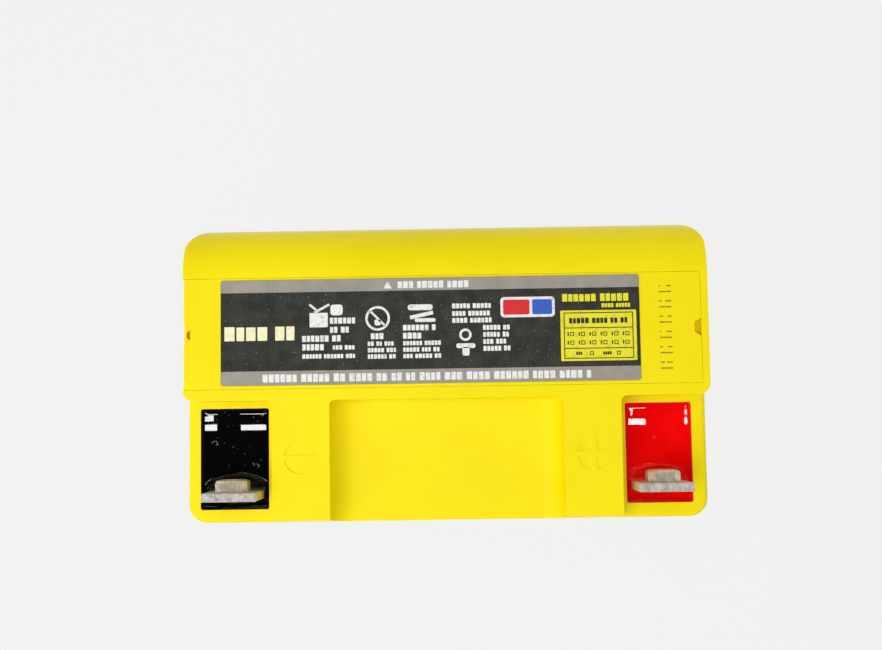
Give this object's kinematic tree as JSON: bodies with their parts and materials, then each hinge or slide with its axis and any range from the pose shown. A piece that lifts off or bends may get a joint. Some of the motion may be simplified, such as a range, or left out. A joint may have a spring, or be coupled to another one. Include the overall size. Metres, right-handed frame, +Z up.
{
  "type": "motorcycle battery",
  "caption": "Sealed gel motorcycle battery: yellow case and stepped lid, lift-off valve cover over rubber valve caps, upright bolt tabs in resin-filled front niches.",
  "frame": {"origin": "middle of the underside, on the surface the battery stands on", "axes": "+X along the length towards the positive terminal, -Y towards the face that the terminals' bolts enter from, +Z up"},
  "size_m": [0.098, 0.056, 0.11],
  "materials": {
    "case_plastic": "glossy moulded yellow plastic",
    "label_film": "satin printed film",
    "valve_rubber": "soft black rubber",
    "positive_paste": "dull brown lead-dioxide paste on a lead grid",
    "negative_lead": "dull grey spongy lead on a lead grid",
    "glass_mat": "white glass-fibre mat",
    "electrolyte_gel": "cloudy silica gel",
    "cast_lead": "cast lead",
    "seal_rubber": "black rubber ring",
    "tinned_metal": "tinned, with a rough cut top edge",
    "black_resin": "glossy poured black resin",
    "red_resin": "glossy poured red resin"
  },
  "bodies": {
    "case": {"container": "case_plastic", "lid": "case_plastic", "positive_plates_1": "positive_paste", "positive_plates_2": "positive_paste", "positive_plates_3": "positive_paste", "positive_plates_4": "positive_paste", "positive_plates_5": "positive_paste", "positive_plates_6": "positive_paste", "negative_plates_1": "negative_lead", "negative_plates_2": "negative_lead", "negative_plates_3": "negative_lead", "negative_plates_4": "negative_lead", "negative_plates_5": "negative_lead", "negative_plates_6": "negative_lead", "separators_1": "glass_mat", "separators_2": "glass_mat", "separators_3": "glass_mat", "separators_4": "glass_mat", "separators_5": "glass_mat", "separators_6": "glass_mat", "gel_1": "electrolyte_gel", "gel_2": "electrolyte_gel", "gel_3": "electrolyte_gel", "gel_4": "electrolyte_gel", "gel_5": "electrolyte_gel", "gel_6": "electrolyte_gel", "intercell_weld_1": "cast_lead", "intercell_weld_2": "cast_lead", "intercell_weld_3": "cast_lead", "intercell_weld_4": "cast_lead", "intercell_weld_5": "cast_lead", "negative_post": "cast_lead", "positive_post": "cast_lead", "negative_post_seal": "seal_rubber", "positive_post_seal": "seal_rubber", "negative_terminal": "tinned_metal", "positive_terminal": "tinned_metal", "negative_nut": "tinned_metal", "positive_nut": "tinned_metal", "negative_potting": "black_resin", "positive_potting": "red_resin"},
    "cover": {"valve_cover": "case_plastic", "top_label": "label_film"},
    "cap_1": {"valve_cap_1": "valve_rubber"},
    "cap_2": {"valve_cap_2": "valve_rubber"},
    "cap_3": {"valve_cap_3": "valve_rubber"},
    "cap_4": {"valve_cap_4": "valve_rubber"},
    "cap_5": {"valve_cap_5": "valve_rubber"},
    "cap_6": {"valve_cap_6": "valve_rubber"}
  },
  "joints": [
    {"name": "cover_lift", "type": "slide", "parent": "case", "child": "cover", "axis": [0, 0, 1], "range_m": [0, 0.02]},
    {"name": "cap_1_lift", "type": "slide", "parent": "case", "child": "cap_1", "axis": [0, 0, 1], "range_m": [0, 0.0005], "stiffness_N_per_m": 150, "springref_m": -0.001},
    {"name": "cap_2_lift", "type": "slide", "parent": "case", "child": "cap_2", "axis": [0, 0, 1], "range_m": [0, 0.0005], "stiffness_N_per_m": 150, "springref_m": -0.001},
    {"name": "cap_3_lift", "type": "slide", "parent": "case", "child": "cap_3", "axis": [0, 0, 1], "range_m": [0, 0.0005], "stiffness_N_per_m": 150, "springref_m": -0.001},
    {"name": "cap_4_lift", "type": "slide", "parent": "case", "child": "cap_4", "axis": [0, 0, 1], "range_m": [0, 0.0005], "stiffness_N_per_m": 150, "springref_m": -0.001},
    {"name": "cap_5_lift", "type": "slide", "parent": "case", "child": "cap_5", "axis": [0, 0, 1], "range_m": [0, 0.0005], "stiffness_N_per_m": 150, "springref_m": -0.001},
    {"name": "cap_6_lift", "type": "slide", "parent": "case", "child": "cap_6", "axis": [0, 0, 1], "range_m": [0, 0.0005], "stiffness_N_per_m": 150, "springref_m": -0.001}
  ]
}
